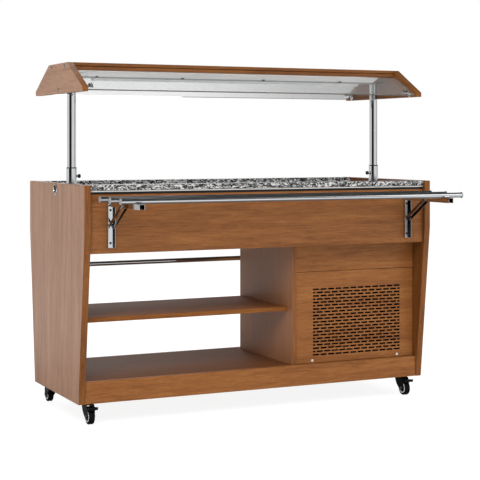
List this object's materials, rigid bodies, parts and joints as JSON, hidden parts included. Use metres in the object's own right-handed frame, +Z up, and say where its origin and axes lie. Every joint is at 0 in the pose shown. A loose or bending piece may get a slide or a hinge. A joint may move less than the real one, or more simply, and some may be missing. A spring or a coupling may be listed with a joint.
{
  "type": "mobile salad bar",
  "caption": "Wheeled wooden salad bar with a cold well between granite ledges, folding tray slides and a glazed canopy that lowers on two posts.",
  "frame": {"origin": "On the floor, in the middle of the object's box with the front tray slide raised and the rear one folded.", "axes": "+X along the counter's length with the machine compartment on the +X side, +Y from the raised tray slide towards the folded one, +Z up."},
  "size_m": [1.5046, 1.026, 1.362],
  "materials": {
    "wood": "satin",
    "side_wood": "satin",
    "dark_wood": "satin",
    "granite": "polished",
    "steel": "satin",
    "chrome": "polished",
    "zinc": "satin",
    "pale_trim": "satin",
    "pale_grey": "satin",
    "lamp": "satin",
    "black_plastic": "matte",
    "black_steel": "satin",
    "rubber": "matte",
    "aluminium": "satin",
    "glass": "polished"
  },
  "bodies": {
    "cabinet": {"side_panel_left": "side_wood", "side_panel_right": "side_wood", "plinth_front": "wood", "plinth_rear": "wood", "divider": "wood", "middle_shelf": "wood", "apron_front": "wood", "apron_rear": "wood", "front_strip_panel": "wood", "front_grille_panel": "wood", "rear_vent_panel": "wood", "base_deck": "dark_wood", "base_bottom": "dark_wood", "bay_ceiling": "dark_wood", "granite_ledge_front": "granite", "granite_ledge_rear": "granite", "cold_well": "steel", "top_frame": "pale_trim", "finger_cup_left": "chrome", "finger_cup_right": "chrome", "post_guide_left": "chrome", "post_guide_right": "chrome", "slide_channel_front_left": "chrome", "slide_channel_front_right": "chrome", "slide_channel_rear_left": "chrome", "slide_channel_rear_right": "chrome", "compressor": "black_steel", "condenser": "aluminium", "fan_motor": "zinc"},
    "canopy": {"canopy_end_left": "wood", "canopy_end_right": "wood", "canopy_top": "wood", "canopy_beam": "zinc", "lamp_housing": "pale_grey", "lamp_strip": "lamp", "glass_front": "glass", "glass_rear": "glass", "post_left": "chrome", "post_right": "chrome"},
    "tray_slide_front": {"tray_frame_front": "chrome"},
    "tray_slide_rear": {"tray_frame_rear": "chrome"},
    "clamp_knob_left": {"clamp_knob_left": "black_plastic"},
    "clamp_knob_right": {"clamp_knob_right": "black_plastic"},
    "condenser_fan": {"condenser_fan": "black_plastic"},
    "slide_brace_front_left": {"slide_brace_front_left": "chrome"},
    "slide_brace_front_right": {"slide_brace_front_right": "chrome"},
    "slide_brace_rear_left": {"slide_brace_rear_left": "chrome"},
    "slide_brace_rear_right": {"slide_brace_rear_right": "chrome"},
    "caster_front_left": {"caster_fork_front_left": "black_steel"},
    "wheel_front_left": {"caster_wheel_front_left": "rubber"},
    "brake_front_left": {"brake_pedal_front_left": "black_steel"},
    "caster_front_right": {"caster_fork_front_right": "black_steel"},
    "wheel_front_right": {"caster_wheel_front_right": "rubber"},
    "brake_front_right": {"brake_pedal_front_right": "black_steel"},
    "caster_rear_left": {"caster_fork_rear_left": "black_steel"},
    "wheel_rear_left": {"caster_wheel_rear_left": "rubber"},
    "brake_rear_left": {"brake_pedal_rear_left": "black_steel"},
    "caster_rear_right": {"caster_fork_rear_right": "black_steel"},
    "wheel_rear_right": {"caster_wheel_rear_right": "rubber"},
    "brake_rear_right": {"brake_pedal_rear_right": "black_steel"}
  },
  "joints": [
    {"name": "canopy_slide", "type": "slide", "parent": "cabinet", "child": "canopy", "axis": [0, 0, 1], "range_m": [-0.3465, 0]},
    {"name": "tray_fold_front", "type": "hinge", "parent": "cabinet", "child": "tray_slide_front", "pos_m": [0, -0.2005, 0.826], "axis": [1, 0, 0], "range_deg": [0, 90]},
    {"name": "tray_fold_rear", "type": "hinge", "parent": "cabinet", "child": "tray_slide_rear", "pos_m": [0, 0.4785, 0.826], "axis": [1, 0, 0], "range_deg": [0, 90]},
    {"name": "brace_fold_front_left", "type": "hinge", "parent": "cabinet", "child": "slide_brace_front_left", "pos_m": [-0.6437, -0.2005, 0.7415], "axis": [1, 0, 0], "range_deg": [0, 121.4]},
    {"name": "brace_fold_front_right", "type": "hinge", "parent": "cabinet", "child": "slide_brace_front_right", "pos_m": [0.6437, -0.2005, 0.7415], "axis": [1, 0, 0], "range_deg": [0, 121.4]},
    {"name": "brace_fold_rear_left", "type": "hinge", "parent": "cabinet", "child": "slide_brace_rear_left", "pos_m": [-0.6437, 0.4785, 0.7415], "axis": [1, 0, 0], "range_deg": [0, 121.4]},
    {"name": "brace_fold_rear_right", "type": "hinge", "parent": "cabinet", "child": "slide_brace_rear_right", "pos_m": [0.6437, 0.4785, 0.7415], "axis": [1, 0, 0], "range_deg": [0, 121.4]},
    {"name": "clamp_turn_left", "type": "hinge", "parent": "cabinet", "child": "clamp_knob_left", "pos_m": [-0.6617, 0.139, 0.924], "axis": [1, 0, 0], "range_deg": [0, 360]},
    {"name": "clamp_turn_right", "type": "hinge", "parent": "cabinet", "child": "clamp_knob_right", "pos_m": [0.6617, 0.139, 0.924], "axis": [-1, 0, 0], "range_deg": [0, 360]},
    {"name": "fan_spin", "type": "hinge", "parent": "cabinet", "child": "condenser_fan", "pos_m": [0.4, 0.016, 0.2903], "axis": [0, 1, 0], "continuous": true},
    {"name": "swivel_front_left", "type": "hinge", "parent": "cabinet", "child": "caster_front_left", "pos_m": [-0.692, -0.071, 0.0777], "axis": [0, 0, 1], "continuous": true},
    {"name": "roll_front_left", "type": "hinge", "parent": "caster_front_left", "child": "wheel_front_left", "pos_m": [-0.692, -0.099, 0.03], "axis": [1, 0, 0], "continuous": true},
    {"name": "brake_press_front_left", "type": "hinge", "parent": "caster_front_left", "child": "brake_front_left", "pos_m": [-0.692, -0.087, 0.064], "axis": [1, 0, 0], "range_deg": [0, 5]},
    {"name": "swivel_front_right", "type": "hinge", "parent": "cabinet", "child": "caster_front_right", "pos_m": [0.692, -0.071, 0.0777], "axis": [0, 0, 1], "continuous": true},
    {"name": "roll_front_right", "type": "hinge", "parent": "caster_front_right", "child": "wheel_front_right", "pos_m": [0.692, -0.099, 0.03], "axis": [1, 0, 0], "continuous": true},
    {"name": "brake_press_front_right", "type": "hinge", "parent": "caster_front_right", "child": "brake_front_right", "pos_m": [0.692, -0.087, 0.064], "axis": [1, 0, 0], "range_deg": [0, 5]},
    {"name": "swivel_rear_left", "type": "hinge", "parent": "cabinet", "child": "caster_rear_left", "pos_m": [-0.692, 0.377, 0.0777], "axis": [0, 0, 1], "continuous": true},
    {"name": "roll_rear_left", "type": "hinge", "parent": "caster_rear_left", "child": "wheel_rear_left", "pos_m": [-0.692, 0.405, 0.03], "axis": [1, 0, 0], "continuous": true},
    {"name": "brake_press_rear_left", "type": "hinge", "parent": "caster_rear_left", "child": "brake_rear_left", "pos_m": [-0.692, 0.393, 0.064], "axis": [-1, 0, 0], "range_deg": [0, 5]},
    {"name": "swivel_rear_right", "type": "hinge", "parent": "cabinet", "child": "caster_rear_right", "pos_m": [0.692, 0.377, 0.0777], "axis": [0, 0, 1], "continuous": true},
    {"name": "roll_rear_right", "type": "hinge", "parent": "caster_rear_right", "child": "wheel_rear_right", "pos_m": [0.692, 0.405, 0.03], "axis": [1, 0, 0], "continuous": true},
    {"name": "brake_press_rear_right", "type": "hinge", "parent": "caster_rear_right", "child": "brake_rear_right", "pos_m": [0.692, 0.393, 0.064], "axis": [-1, 0, 0], "range_deg": [0, 5]}
  ],
  "couplings": [
    {"joint": "brace_fold_front_left", "follows": "tray_fold_front", "ratio": 1.3488},
    {"joint": "brace_fold_front_right", "follows": "tray_fold_front", "ratio": 1.3488},
    {"joint": "brace_fold_rear_left", "follows": "tray_fold_rear", "ratio": 1.3488},
    {"joint": "brace_fold_rear_right", "follows": "tray_fold_rear", "ratio": 1.3488}
  ]
}
